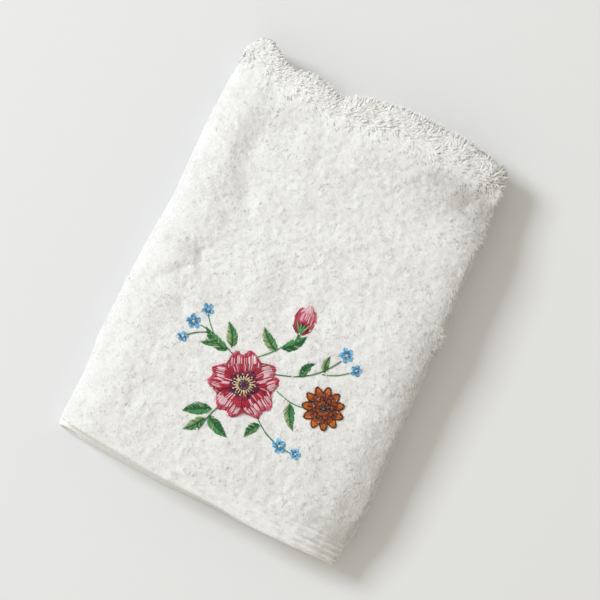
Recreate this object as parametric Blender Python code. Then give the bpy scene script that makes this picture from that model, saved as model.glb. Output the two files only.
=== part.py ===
"""Terry washcloth with hemmed edges, folded in thirds and then in half.

The square cloth's two side thirds are turned under its middle third, which makes a strip of three layers.
The strip is then folded in half, so the good face lies on top and underneath, and the strip's two hemmed
ends lie over each other at one end. The cloth is one solid. Metres, +Z up. The origin is under the middle
of the folded cloth, on the plane that it rests on, and +Y points from the hems to the end fold.
"""

import math
from collections import namedtuple

import bmesh
import bpy

# The cloth and how thick it is, with the pile of both faces pressed as it lies
CLOTH_SIDE = 0.330
LAYER = 0.0024
LAYER_GAP = 0.0006
# The folded cloth, before its sides bow and its top settles
FOLDED_WIDTH = 0.115
FOLDED_LENGTH = 0.165
# Room between the strip's two halves, which the fold holds open
HALVES_GAP_AT_HEM = 0.0008
HALVES_GAP_AT_FOLD = 0.0020
# How the hems lie: the upper half's hem runs aslant, and inner layers stop short of the outer one
UPPER_HEM_SLANT = -0.0022
LOWER_HEM_SLANT = -0.0004
INNER_HEM_SHORT = 0.0009
# How far the side edge of the tucked third stays from the turn that wraps it
TUCKED_EDGE_ROOM = 0.0050
# The hems are flatter than the pile, and the top falls away towards its two sides
HEM_PRESS = 0.08
HEM_PRESS_REACH = 0.016
SIDE_FALL = 0.20
SIDE_FALL_REACH = 0.014
# How round the end fold is: 1 is a half circle, and less has a flatter top and end
END_FOLD_ROUND = 0.32
# Facets across the strip's section and along the strip
PANEL_STEPS = 14
SMALL_TURN_STEPS = 5
LARGE_TURN_STEPS = 7
HALF_STEPS = 14
CORNER_STEPS = 3
SHORTEST_FACET = 0.0020

PITCH = LAYER + LAYER_GAP
STRIP_HEIGHT = 3 * LAYER + 2 * LAYER_GAP
# Heights of the three layers' middle lines in the strip, from its inner side to its good side
INNER_LEVEL, MIDDLE_LEVEL, OUTER_LEVEL = (LAYER / 2 + level * PITCH for level in range(3))
# Where the strip's two turns are centred, where the tucked third's edge lies, and the end fold's axis
SMALL_TURN_X = FOLDED_WIDTH / 2 - PITCH / 2 - LAYER / 2
LARGE_TURN_X = -FOLDED_WIDTH / 2 + PITCH + LAYER / 2
TUCKED_EDGE_X = LARGE_TURN_X + TUCKED_EDGE_ROOM
END_FOLD_Y = FOLDED_LENGTH / 2 - STRIP_HEIGHT - HALVES_GAP_AT_FOLD / 2

# The two long sides, bowed as they lie: each row is a place along the cloth and how far out each side is
SideRow = namedtuple("SideRow", "y left right")
SIDES = (
    SideRow(-0.0830, -0.0580, 0.0580),
    SideRow(-0.0600, -0.0574, 0.0602),
    SideRow(-0.0450, -0.0585, 0.0595),
    SideRow(-0.0050, -0.0575, 0.0580),
    SideRow(0.0130, -0.0563, 0.0578),
    SideRow(0.0270, -0.0566, 0.0568),
    SideRow(0.0500, -0.0568, 0.0566),
    SideRow(0.0700, -0.0560, 0.0552),
    SideRow(0.0840, -0.0548, 0.0532),
)

# The wavy lines of the hems and of the end fold: how far each place across lies beyond the straight line
EndRow = namedtuple("EndRow", "x beyond")
HEMS = (
    EndRow(-0.0580, -0.0012),
    EndRow(-0.0400, 0.0002),
    EndRow(-0.0140, 0.0012),
    EndRow(0.0080, 0.0009),
    EndRow(0.0220, 0.0016),
    EndRow(0.0380, 0.0011),
    EndRow(0.0580, -0.0006),
)
END_FOLD = (
    EndRow(-0.0580, -0.0006),
    EndRow(-0.0510, 0.0006),
    EndRow(-0.0390, -0.0051),
    EndRow(-0.0280, -0.0042),
    EndRow(-0.0160, -0.0073),
    EndRow(-0.0060, -0.0037),
    EndRow(0.0080, -0.0012),
    EndRow(0.0200, -0.0006),
    EndRow(0.0350, -0.0014),
    EndRow(0.0480, -0.0025),
    EndRow(0.0580, -0.0038),
)

# Soft swells (above zero) and hollows (below zero) of the top, each as a share of the local height
Swell = namedtuple("Swell", "x y reach_x reach_y rise")
SWELLS = (
    Swell(-0.048, 0.000, 0.009, 0.085, 0.030),
    Swell(-0.032, 0.046, 0.012, 0.026, -0.060),
    Swell(-0.036, 0.004, 0.010, 0.012, -0.040),
    Swell(0.032, -0.002, 0.034, 0.045, 0.040),
    Swell(0.080, 0.084, 0.034, 0.024, -0.320),
    Swell(0.078, -0.080, 0.025, 0.046, -0.400),
)

# One point of the strip's section: its place across, its height in the strip and the good face's normal
SectionPoint = namedtuple("SectionPoint", "across height normal_across normal_height")
# One step along the strip: how far it is from the hems to the end fold, and how far out and up it is from the
# fold's middle, as shares of its distance from there
StripStep = namedtuple("StripStep", "run out up")


def blend(low, high, share):
    """Goes from low to high as share goes from 0 to 1, level at both ends."""
    share = min(max(share, 0.0), 1.0)
    return low + (high - low) * share * share * (3 - 2 * share)


def read_row(rows, place, wanted):
    """Reads a column of a table on a smooth curve through its rows, whose first column is the place."""
    places = [row[0] for row in rows]
    values = [getattr(row, wanted) for row in rows]
    last = len(rows) - 1
    place = min(max(place, places[0]), places[last])
    start = next(index for index in range(last) if place <= places[index + 1])
    width = places[start + 1] - places[start]
    share = (place - places[start]) / width
    slopes = []
    for index in (start, start + 1):
        before, after = max(index - 1, 0), min(index + 1, last)
        slopes.append((values[after] - values[before]) / (places[after] - places[before]))
    rise = blend(values[start], values[start + 1], share)
    lean = width * share * (1 - share)
    return rise + lean * (slopes[0] * (1 - share) - slopes[1] * share)


def panel(height, start, end, normal_height):
    """A flat third of the cloth in the strip's section, without its last point. All three thirds bend at the
    same places across, so that the waves of the end fold leave the same room between them everywhere."""
    low, high = min(start, end) + SHORTEST_FACET, max(start, end) - SHORTEST_FACET
    width = SMALL_TURN_X - TUCKED_EDGE_X
    bends = [TUCKED_EDGE_X + width * step / PANEL_STEPS for step in range(PANEL_STEPS)]
    inside = [bend for bend in bends if low < bend < high]
    for across in (start, *sorted(inside, reverse=start > end)):
        yield SectionPoint(across, height, 0.0, normal_height)


def turn(across, height, radius, start_angle, steps):
    """A half-turn that joins two thirds, without its last point."""
    for step in range(steps):
        angle = math.radians(start_angle + 180 * step / steps)
        out, up = math.cos(angle), math.sin(angle)
        yield SectionPoint(across + radius * out, height + radius * up, out, up)


def strip_section():
    """The section's middle line: tucked third, small turn, middle third, large turn, outer third."""
    thirds_left = CLOTH_SIDE - (SMALL_TURN_X - LARGE_TURN_X) - math.pi * PITCH * 1.5
    outer_edge = LARGE_TURN_X + thirds_left - (SMALL_TURN_X - TUCKED_EDGE_X)
    return [
        *panel(MIDDLE_LEVEL, TUCKED_EDGE_X, SMALL_TURN_X, -1.0),
        *turn(SMALL_TURN_X, MIDDLE_LEVEL + PITCH / 2, PITCH / 2, -90, SMALL_TURN_STEPS),
        *panel(OUTER_LEVEL, SMALL_TURN_X, LARGE_TURN_X, 1.0),
        *turn(LARGE_TURN_X, MIDDLE_LEVEL, PITCH, 90, LARGE_TURN_STEPS),
        *panel(INNER_LEVEL, LARGE_TURN_X, outer_edge, -1.0),
        SectionPoint(outer_edge, INNER_LEVEL, 0.0, -1.0),
    ]


def fold_corner(side):
    """The end fold's lower corner (side -1) or upper corner (side 1), each a quarter turn."""
    flat = 1 - END_FOLD_ROUND
    start_angle = -90 if side < 0 else 0
    for step in range(CORNER_STEPS + 1):
        angle = math.radians(start_angle + 90 * step / CORNER_STEPS)
        out, up = math.cos(angle), math.sin(angle)
        yield StripStep(1.0, flat + END_FOLD_ROUND * out, side * flat + END_FOLD_ROUND * up)


def strip_steps():
    """From the lower half's hem to the end fold, round its two corners, and back to the upper half's hem."""
    lower = [StripStep(step / HALF_STEPS, 0.0, -1.0) for step in range(HALF_STEPS + 1)]
    upper = [StripStep(1 - step / HALF_STEPS, 0.0, 1.0) for step in range(HALF_STEPS + 1)]
    return [*lower, *fold_corner(-1), *fold_corner(1), *upper]


def fold_in_half(across, height, step):
    """Carries a point of the strip's section to its place on the strip folded in half."""
    halves_gap = blend(HALVES_GAP_AT_HEM, HALVES_GAP_AT_FOLD, step.run)
    radius = halves_gap / 2 + height
    slant = UPPER_HEM_SLANT if step.up > 0 else LOWER_HEM_SLANT
    hem_y = -FOLDED_LENGTH / 2 + slant * 2 * across / FOLDED_WIDTH
    hem_y += INNER_HEM_SHORT * (1 - height / STRIP_HEIGHT)
    y = hem_y + (END_FOLD_Y - hem_y) * step.run + radius * step.out
    z = STRIP_HEIGHT + halves_gap / 2 + radius * step.up
    return across, y, z


def local_height(x, y):
    """The height at a place on the cloth as a share of the even stack's: pressed hems, sides and swells."""
    from_hem = (y + FOLDED_LENGTH / 2) / HEM_PRESS_REACH
    from_side = (FOLDED_WIDTH / 2 - abs(x)) / SIDE_FALL_REACH
    share = 1 - blend(HEM_PRESS, 0.0, from_hem)
    share *= 1 - SIDE_FALL * min(max(1 - from_side, 0.0), 1.0) ** 2
    for swell in SWELLS:
        away = ((x - swell.x) / swell.reach_x) ** 2 + ((y - swell.y) / swell.reach_y) ** 2
        share *= 1 + swell.rise * math.exp(-away)
    return share


def settle(x, y, z):
    """Bows the sides, waves both ends and settles the top. The underside stays flat at zero height."""
    left = read_row(SIDES, y, "left")
    right = read_row(SIDES, y, "right")
    along = (y + FOLDED_LENGTH / 2) / FOLDED_LENGTH
    settled_x = left + (right - left) * (x / FOLDED_WIDTH + 0.5)
    settled_y = y + blend(-read_row(HEMS, x, "beyond"), read_row(END_FOLD, x, "beyond"), along)
    return settled_x, settled_y, z * local_height(x, y)


def folded_rows(side):
    """Rows of points on one face of the cloth: side is 1 for the good face and -1 for the other."""
    rows = []
    for step in strip_steps():
        row = []
        for point in strip_section():
            across = point.across + side * point.normal_across * LAYER / 2
            height = point.height + side * point.normal_height * LAYER / 2
            row.append(settle(*fold_in_half(across, height, step)))
        rows.append(row)
    return rows


def join_rows(bm, first, second):
    """Faces between two rows of vertices."""
    for index in range(len(first) - 1):
        bm.faces.new((first[index], first[index + 1], second[index + 1], second[index]))


def centre_over_origin(bm):
    """Moves the cloth sideways until the middle of its box is over the origin."""
    for axis in (0, 1):
        places = [vert.co[axis] for vert in bm.verts]
        step = [0.0, 0.0, 0.0]
        step[axis] = -(min(places) + max(places)) / 2
        bmesh.ops.translate(bm, vec=step, verts=bm.verts)


def cloth_mesh():
    """The cloth's two faces with a rim round its four hems, as one closed body."""
    bm = bmesh.new()
    good, back = ([[bm.verts.new(place) for place in row] for row in folded_rows(side)] for side in (1, -1))
    for sheet in (good, back):
        for row, following in zip(sheet, sheet[1:]):
            join_rows(bm, row, following)
    for edge in (0, -1):
        join_rows(bm, good[edge], back[edge])
        join_rows(bm, [row[edge] for row in good], [row[edge] for row in back])
    centre_over_origin(bm)
    bmesh.ops.recalc_face_normals(bm, faces=bm.faces)
    bmesh.ops.triangulate(bm, faces=bm.faces)
    mesh = bpy.data.meshes.new("washcloth")
    bm.to_mesh(mesh)
    bm.free()
    return mesh


def terry_material():
    """White cotton terry: soft and matt."""
    material = bpy.data.materials.new("white_cotton_terry")
    material.use_nodes = True
    shader = material.node_tree.nodes["Principled BSDF"]
    shader.inputs["Base Color"].default_value = (0.90, 0.89, 0.86, 1.0)
    shader.inputs["Roughness"].default_value = 0.95
    shader.inputs["Metallic"].default_value = 0.0
    return material


def main():
    for old in list(bpy.data.objects):
        bpy.data.objects.remove(old, do_unlink=True)
    cloth = bpy.data.objects.new("washcloth", cloth_mesh())
    cloth.data.materials.append(terry_material())
    cloth.data.shade_smooth()
    bpy.context.scene.collection.objects.link(cloth)


main()
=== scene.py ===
"""Folded white terry washcloth with an embroidered flower spray.

The cloth is one square sheet. It is laid out flat, and a fold formula carries each of its points to its
place: the two side thirds turn under the middle third, and the strip is folded in half. The yarns of the
pile, the hems' stitches and the embroidery are planted on that sheet. Metres, +Z up; +Y points from the hems
to the end fold.
"""

import math
from collections import namedtuple

import bmesh
import bpy
import numpy as np
from bpy.props import FloatProperty, FloatVectorProperty, PointerProperty
from bpy.types import Operator, Panel, PropertyGroup
from mathutils import Matrix, Vector


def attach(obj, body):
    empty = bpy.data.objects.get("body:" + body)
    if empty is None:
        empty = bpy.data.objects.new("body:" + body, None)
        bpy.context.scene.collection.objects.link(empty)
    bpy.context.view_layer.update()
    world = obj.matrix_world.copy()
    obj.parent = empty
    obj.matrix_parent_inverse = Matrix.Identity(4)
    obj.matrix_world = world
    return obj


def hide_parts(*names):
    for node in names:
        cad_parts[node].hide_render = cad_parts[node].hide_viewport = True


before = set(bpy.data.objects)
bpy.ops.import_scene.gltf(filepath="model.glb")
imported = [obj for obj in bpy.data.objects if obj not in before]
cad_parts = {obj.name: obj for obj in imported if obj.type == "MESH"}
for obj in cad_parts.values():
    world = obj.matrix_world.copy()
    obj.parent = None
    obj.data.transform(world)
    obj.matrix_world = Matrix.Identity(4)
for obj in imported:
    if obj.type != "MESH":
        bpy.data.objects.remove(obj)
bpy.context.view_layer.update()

bl_info = {
    "name": "Folded Terry Washcloth",
    "version": (1, 0, 0),
    "blender": (4, 5, 0),
    "location": "View3D > Sidebar > Washcloth",
    "description": "Builds a folded terry washcloth with its pile, hems and an embroidered flower spray",
    "category": "Object",
}

MM = 0.001
# Less than any real distance
TINY = 1e-6


def table(kind, *lines):
    """A table's rows from its lines."""
    return [kind(*line) for line in lines]


def in_mm(kind, *lines):
    """A table's rows from lines of millimetres."""
    return [kind(*(value * MM for value in line)) for line in lines]


# ---- The folded cloth's construction, as its solid has it ----

CLOTH_SIDE = 0.330
LAYER = 0.0024
LAYER_GAP = 0.0006
FOLDED_WIDTH = 0.115
FOLDED_LENGTH = 0.165
HALVES_GAP_AT_HEM = 0.0008
HALVES_GAP_AT_FOLD = 0.0020
UPPER_HEM_SLANT = -0.0022
LOWER_HEM_SLANT = -0.0004
INNER_HEM_SHORT = 0.0009
TUCKED_EDGE_ROOM = 0.0050
HEM_PRESS = 0.08
HEM_PRESS_REACH = 0.016
SIDE_FALL = 0.20
SIDE_FALL_REACH = 0.014
# How round the end fold is: 1 is a half circle, and less has a flatter top and end
END_FOLD_ROUND = 0.32

PITCH = LAYER + LAYER_GAP
STRIP_HEIGHT = 3 * LAYER + 2 * LAYER_GAP
INNER_LEVEL, MIDDLE_LEVEL, OUTER_LEVEL = (LAYER / 2 + level * PITCH for level in range(3))
SMALL_TURN_X = FOLDED_WIDTH / 2 - PITCH / 2 - LAYER / 2
LARGE_TURN_X = -FOLDED_WIDTH / 2 + PITCH + LAYER / 2
END_FOLD_Y = FOLDED_LENGTH / 2 - STRIP_HEIGHT - HALVES_GAP_AT_FOLD / 2

# The two long sides, bowed as they lie
SideRow = namedtuple("SideRow", "y left right")
SIDES = in_mm(
    SideRow,
    (-83.0, -58.0, 58.0), (-60.0, -57.4, 60.2), (-45.0, -58.5, 59.5), (-5.0, -57.5, 58.0),
    (13.0, -56.3, 57.8), (27.0, -56.6, 56.8), (50.0, -56.8, 56.6), (70.0, -56.0, 55.2), (84.0, -54.8, 53.2),
)
# The wavy lines of the hems and of the end fold: how far each place across lies beyond the straight line
EndRow = namedtuple("EndRow", "x beyond")
HEMS = in_mm(
    EndRow, (-58.0, -1.2), (-40.0, 0.2), (-14.0, 1.2), (8.0, 0.9), (22.0, 1.6), (38.0, 1.1), (58.0, -0.6)
)
END_FOLD = in_mm(
    EndRow,
    (-58.0, -0.6), (-51.0, 0.6), (-39.0, -5.1), (-28.0, -4.2), (-16.0, -7.3), (-6.0, -3.7), (8.0, -1.2),
    (20.0, -0.6), (35.0, -1.4), (48.0, -2.5), (58.0, -3.8),
)
# Broad swells (above zero) and hollows (below zero), each as a share of the local height
Swell = namedtuple("Swell", "x y reach_x reach_y rise")
SWELLS = table(
    Swell,
    (-0.048, 0.000, 0.009, 0.085, 0.030), (-0.032, 0.046, 0.012, 0.026, -0.060),
    (-0.036, 0.004, 0.010, 0.012, -0.040), (0.032, -0.002, 0.034, 0.045, 0.040),
    (0.080, 0.084, 0.034, 0.024, -0.320), (0.078, -0.080, 0.025, 0.046, -0.400),
)
# Soft creases of the top, laid from one place to another: reach is how far each spreads sideways,
# and depth is how far its middle sinks
Crease = namedtuple("Crease", "x y to_x to_y reach depth")
CREASES = in_mm(
    Crease,
    (-42.0, 59.0, -36.5, 43.0, 4.0, 0.3), (-37.5, 53.0, -33.0, 29.0, 4.4, 0.4),
    (-33.0, 29.0, -27.0, 14.0, 3.8, 0.3), (-37.5, -1.0, -36.5, -3.5, 2.2, 0.7),
    (-48.0, -17.0, -40.0, -8.0, 2.0, 0.6), (-36.5, -20.0, -35.5, -22.5, 2.2, 0.6),
    (-37.5, -59.0, -36.5, -63.0, 2.6, 0.5), (44.0, 60.0, 50.0, 69.0, 3.4, 0.8),
    (33.5, 21.5, 34.0, 24.5, 2.0, 0.3), (-13.5, 47.0, -13.0, 50.0, 2.0, 0.5),
)
# Small unevenness of the whole top: how wide its humps are and how far they rise or sink
Uneven = namedtuple("Uneven", "size rise seed")
UNEVEN = (Uneven(0.0140, 0.00040, 11), Uneven(0.0065, 0.00024, 12))
# How strongly the layers below follow the top
LAYERS_FOLLOW = 4

# The sheet's two faces above and below its middle plane, and how far its edges round out
GOOD_FACE = 0.80 * MM
BACK_FACE = -1.05 * MM
HEM_BULGE = 0.75 * MM
# The flat band beside the hem and its ribs, and how far from the small turn they grow faint
BAND_WIDTH = 10.5 * MM
RIB_PITCH = 2.2 * MM
RIB_RISE = 0.06 * MM
RIB_FAINT = 0.3
RIB_FADE = 30 * MM
# Spacing of the sheet's rows and columns, close where the cloth turns, waves or is ribbed
HIDDEN_STEP = 6.0 * MM
SHOWN_STEP = 2.0 * MM
WAVY_STEP = 1.1 * MM
TURN_STEP = 0.7 * MM
BAND_STEP = 0.45 * MM
# Half the distance over which the folded cloth's directions are measured
PROBE = 0.3 * MM
# The lattice behind the smooth unevenness: its size, and how many cells off its corner the cloth lies
LATTICE_COLUMNS, LATTICE_ROWS = 97, 89
LATTICE_START = 400


def ease(share):
    """Goes from 0 to 1, level at both ends."""
    share = np.clip(share, 0.0, 1.0)
    return share * share * (3 - 2 * share)


def blend(low, high, share):
    """Goes from low to high as share goes from 0 to 1, level at both ends."""
    return low + (high - low) * ease(share)


def fade_in(place, start, reach):
    """0 up to the start, and 1 from one reach beyond it."""
    return ease((place - start) / reach)


def fade_out(place, end, reach):
    """1 up to one reach before the end, and 0 beyond it."""
    return ease((end - place) / reach)


def hump(away, reach):
    """1 in the middle, fading to 0 over about one reach to either side."""
    return np.exp(-((away / reach) ** 2))


def unit(vectors):
    """The vectors at length 1."""
    return vectors / np.linalg.norm(vectors, axis=-1, keepdims=True)


def read_row(rows, place, wanted):
    """Reads a column of a table on a smooth curve through its rows, whose first column is the place."""
    places = np.array([row[0] for row in rows])
    values = np.array([getattr(row, wanted) for row in rows])
    index = np.arange(len(rows))
    before, after = np.maximum(index - 1, 0), np.minimum(index + 1, len(rows) - 1)
    slopes = (values[after] - values[before]) / (places[after] - places[before])
    place = np.clip(place, places[0], places[-1])
    start = np.clip(np.searchsorted(places, place) - 1, 0, len(rows) - 2)
    width = places[start + 1] - places[start]
    share = (place - places[start]) / width
    rise = blend(values[start], values[start + 1], share)
    return rise + width * share * (1 - share) * (slopes[start] * (1 - share) - slopes[start + 1] * share)


def soft_noise(across, along, size, seed):
    """Smooth uneven values from -1 to 1 that change over about the given size."""
    lattice = np.random.default_rng(seed).uniform(-1, 1, (LATTICE_COLUMNS, LATTICE_ROWS))
    column, row = np.asarray(across) / size + LATTICE_START, np.asarray(along) / size + LATTICE_START
    left, low = np.floor(column).astype(int), np.floor(row).astype(int)
    right_share, high_share = ease(column - left), ease(row - low)
    under, over = (
        lattice[left % LATTICE_COLUMNS, line] * (1 - right_share)
        + lattice[(left + 1) % LATTICE_COLUMNS, line] * right_share
        for line in (low % LATTICE_ROWS, (low + 1) % LATTICE_ROWS)
    )
    return under + (over - under) * high_share


# The strip's section, measured along the cloth from its tucked edge: where each of its five parts begins
TUCKED_EDGE = LARGE_TURN_X + TUCKED_EDGE_ROOM
SMALL_TURN_AT = SMALL_TURN_X - TUCKED_EDGE
MIDDLE_THIRD_AT = SMALL_TURN_AT + math.pi * PITCH / 2
LARGE_TURN_AT = MIDDLE_THIRD_AT + SMALL_TURN_X - LARGE_TURN_X
OUTER_THIRD_AT = LARGE_TURN_AT + math.pi * PITCH
# The strip, measured along its outer layer from the lower hem: where the end fold begins and ends
HALF_LENGTH = END_FOLD_Y + FOLDED_LENGTH / 2
END_FOLD_PATH = 4 * (1 - END_FOLD_ROUND) + math.pi * END_FOLD_ROUND
UPPER_HALF_AT = HALF_LENGTH + END_FOLD_PATH * (HALVES_GAP_AT_FOLD / 2 + OUTER_LEVEL)
STRIP_LENGTH = UPPER_HALF_AT + HALF_LENGTH


def section_at(reach):
    """The strip's section at a distance from the tucked edge: across, height and the good face's normal."""
    small = np.radians(-90 + 180 * (reach - SMALL_TURN_AT) / (MIDDLE_THIRD_AT - SMALL_TURN_AT))
    large = np.radians(90 + 180 * (reach - LARGE_TURN_AT) / (OUTER_THIRD_AT - LARGE_TURN_AT))
    flat = np.zeros_like(reach)
    part = [reach < end for end in (SMALL_TURN_AT, MIDDLE_THIRD_AT, LARGE_TURN_AT, OUTER_THIRD_AT)]
    # The tucked third, the small turn, the middle third, the large turn and the outer third
    across = (
        TUCKED_EDGE + reach,
        SMALL_TURN_X + PITCH / 2 * np.cos(small),
        SMALL_TURN_X - (reach - MIDDLE_THIRD_AT),
        LARGE_TURN_X + PITCH * np.cos(large),
        LARGE_TURN_X + (reach - OUTER_THIRD_AT),
    )
    height = (
        flat + MIDDLE_LEVEL,
        MIDDLE_LEVEL + PITCH / 2 * (1 + np.sin(small)),
        flat + OUTER_LEVEL,
        MIDDLE_LEVEL + PITCH * np.sin(large),
        flat + INNER_LEVEL,
    )
    out = (flat, np.cos(small), flat, np.cos(large), flat)
    up = (flat - 1, np.sin(small), flat + 1, np.sin(large), flat - 1)
    return [np.select(part, values[:-1], values[-1]) for values in (across, height, out, up)]


def strip_at(reach):
    """The strip at a distance from its lower hem: how far it is from the hems to the end fold, and how far
    out and up it is round the fold's middle, as shares of its distance from there."""
    back = np.minimum(reach / HALF_LENGTH, 1.0)
    run = np.where(reach < UPPER_HALF_AT, back, (STRIP_LENGTH - reach) / HALF_LENGTH)
    travelled = END_FOLD_PATH * np.clip((reach - HALF_LENGTH) / (UPPER_HALF_AT - HALF_LENGTH), 0, 1)
    level, corner = 1 - END_FOLD_ROUND, END_FOLD_ROUND * math.pi / 2
    wall_at, upper_corner_at = level + corner, 3 * level + corner
    lower = np.clip((travelled - level) / corner, 0, 1) * math.pi / 2
    upper = np.clip((travelled - upper_corner_at) / corner, 0, 1) * math.pi / 2
    out = np.minimum(travelled, level) - np.clip(travelled - upper_corner_at - corner, 0, level)
    out = out + END_FOLD_ROUND * (np.sin(lower) + np.cos(upper) - 1)
    up = np.clip(travelled - wall_at, 0, 2 * level) - 1
    up = up + END_FOLD_ROUND * (1 - np.cos(lower) + np.sin(upper))
    return run, out, up


def local_height(x, y):
    """The height at a place on the cloth as a share of the even stack's: pressed hems, sides and swells."""
    share = 1 - blend(HEM_PRESS, 0.0, (y + FOLDED_LENGTH / 2) / HEM_PRESS_REACH)
    share *= 1 - SIDE_FALL * np.clip(1 - (FOLDED_WIDTH / 2 - np.abs(x)) / SIDE_FALL_REACH, 0, 1) ** 2
    for swell in SWELLS:
        share = share * (1 + swell.rise * hump(x - swell.x, swell.reach_x) * hump(y - swell.y, swell.reach_y))
    return share


def creased(x, y):
    """How far the top sinks below its even height at a place."""
    sunk = -sum(uneven.rise * soft_noise(x, y, uneven.size, uneven.seed) for uneven in UNEVEN)
    for crease in CREASES:
        run_x, run_y = crease.to_x - crease.x, crease.to_y - crease.y
        share = ((x - crease.x) * run_x + (y - crease.y) * run_y) / (run_x**2 + run_y**2)
        share = np.clip(share, 0, 1)
        away = np.hypot(x - crease.x - share * run_x, y - crease.y - share * run_y)
        sunk = sunk + crease.depth * hump(away, crease.reach)
    return sunk


def settle(x, y, z):
    """Bows the sides, waves the end fold, settles the top and presses the creases into it."""
    left, right = read_row(SIDES, y, "left"), read_row(SIDES, y, "right")
    along = (y + FOLDED_LENGTH / 2) / FOLDED_LENGTH
    settled_x = left + (right - left) * (x / FOLDED_WIDTH + 0.5)
    settled_y = y + blend(-read_row(HEMS, x, "beyond"), read_row(END_FOLD, x, "beyond"), along)
    from_top = np.clip(z / (2 * STRIP_HEIGHT + HALVES_GAP_AT_HEM), 0, 1)
    settled_z = z * local_height(x, y) - creased(settled_x, settled_y) * from_top**LAYERS_FOLLOW
    return np.stack([settled_x, settled_y, settled_z], axis=-1)


def hem_distance(strip):
    """How far places along the strip are from the nearer hem."""
    return np.minimum(strip, STRIP_LENGTH - strip)


def rib_strength(section):
    """How clear the ribs are, which is most by the small turn."""
    return blend(1.0, RIB_FAINT, (section - MIDDLE_THIRD_AT) / RIB_FADE)


def rib_count(section, from_hem):
    """How many ribs lie between the hem and a place, whole on top of a rib. The ribs waver a little."""
    return from_hem / RIB_PITCH + 0.25 * soft_noise(section, from_hem, 30 * MM, 5)


def band_ribs(section, strip):
    """How far the good face rises at the ribs of the flat bands beside the two hems."""
    from_hem = hem_distance(strip)
    fade = fade_out(from_hem, BAND_WIDTH * 1.1, BAND_WIDTH * 0.3)
    return RIB_RISE * fade * rib_strength(section) * np.cos(2 * math.pi * rib_count(section, from_hem))


def fold_cloth(section, strip, lift):
    """Places of the flat cloth's points once it is folded: lift is their height above its middle plane."""
    across, height, out, up = section_at(section)
    lift = lift + band_ribs(section, strip) * (lift > 0)
    across, height = across + lift * out, height + lift * up
    run, fold_out, fold_up = strip_at(strip)
    halves_gap = blend(HALVES_GAP_AT_HEM, HALVES_GAP_AT_FOLD, run)
    radius = halves_gap / 2 + height
    slant = np.where(fold_up > 0, UPPER_HEM_SLANT, LOWER_HEM_SLANT)
    hem_y = -FOLDED_LENGTH / 2 + slant * 2 * across / FOLDED_WIDTH
    hem_y = hem_y + INNER_HEM_SHORT * (1 - height / STRIP_HEIGHT)
    y = hem_y + (END_FOLD_Y - hem_y) * run + radius * fold_out
    z = STRIP_HEIGHT + halves_gap / 2 + radius * fold_up
    return settle(across, y, z) + CENTRING


def centring():
    """The step that brings the middle of the folded cloth's box over the origin, as its solid has it."""
    section, strip = np.meshgrid(np.linspace(0, CLOTH_SIDE, 500), np.linspace(0, STRIP_LENGTH, 500))
    faces = np.concatenate([fold_cloth(section, strip, side * LAYER / 2).reshape(-1, 3) for side in (1, -1)])
    middle = (faces.min(axis=0) + faces.max(axis=0)) / 2
    return np.array([-middle[0], -middle[1], 0.0])


CENTRING = np.zeros(3)
CENTRING = centring()


def cloth_directions(surface, section, strip):
    """The outward, forward and sideways directions of a folded surface at places on the flat cloth."""
    across = surface(section + PROBE, strip) - surface(section - PROBE, strip)
    forward = unit(surface(section, strip + PROBE) - surface(section, strip - PROBE))
    outward = unit(np.cross(across, forward))
    return outward, forward, np.cross(outward, forward)


# ---- Materials ----


def linear(hex_colour):
    """An sRGB hex colour as linear red, green, blue and alpha."""
    parts = [int(hex_colour[start : start + 2], 16) / 255 for start in (0, 2, 4)]
    return (*(part / 12.92 if part <= 0.04045 else ((part + 0.055) / 1.055) ** 2.4 for part in parts), 1.0)


def add_node(tree, made, label, kind, settings, values, links):
    """Adds a node with its settings, its sockets' values and links from the outputs of nodes made before."""
    node = made[label] = tree.nodes.new("ShaderNode" + kind)
    for name, setting in settings.items():
        setattr(node, name, setting)
    for name, value in values.items():
        node.inputs[name].default_value = value
    for name, (source, output) in links.items():
        tree.links.new(made[source].outputs[output], node.inputs[name])


def wire(owner, rows):
    """Fills the node tree of a material or world from rows that each hold what add_node needs."""
    owner.use_nodes = True
    owner.node_tree.nodes.clear()
    made = {}
    for row in rows:
        add_node(owner.node_tree, made, *row)
    return owner


def new_material(name, *rows):
    """A material from its nodes' rows, of which the one labelled surface is the shader."""
    end = ("end", "OutputMaterial", {}, {}, {"Surface": ("surface", "BSDF")})
    return wire(bpy.data.materials.new(name), (*rows, end))


# Links that materials share: a texture laid on the object, and a shader with a colour and small bumps
ON_OBJECT = {"Vector": ("place", "Object")}
FINISHED = {"Base Color": ("colour", 2), "Normal": ("bump", "Normal")}


def terry_yarn_material(look):
    """Bleached carded cotton yarn: soft and matt, with a faint bloom of fibres, and each yarn painted between
    the lit and the shaded cotton by its shade, as painted shade.
    """
    matt = {"Roughness": 0.9, "Specular IOR Level": 0.25, "Sheen Weight": look.bloom, "Sheen Roughness": 0.5}
    tones = {6: tuple(look.shaded_colour), 7: tuple(look.colour)}
    return new_material(
        "bleached_cotton_terry_yarn",
        ("shade", "Attribute", {"attribute_name": "shade"}, {}, {}),
        ("colour", "Mix", {"data_type": "RGBA"}, tones, {0: ("shade", "Fac")}),
        ("place", "TexCoord", {}, {}, {}),
        ("fibres", "TexNoise", {}, {"Scale": 1 / (0.35 * MM), "Detail": 2.0}, ON_OBJECT),
        ("bump", "Bump", {}, {"Strength": 0.2, "Distance": 0.1 * MM}, {"Height": ("fibres", "Fac")}),
        ("surface", "BsdfPrincipled", {}, matt, FINISHED),
    )


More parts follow.
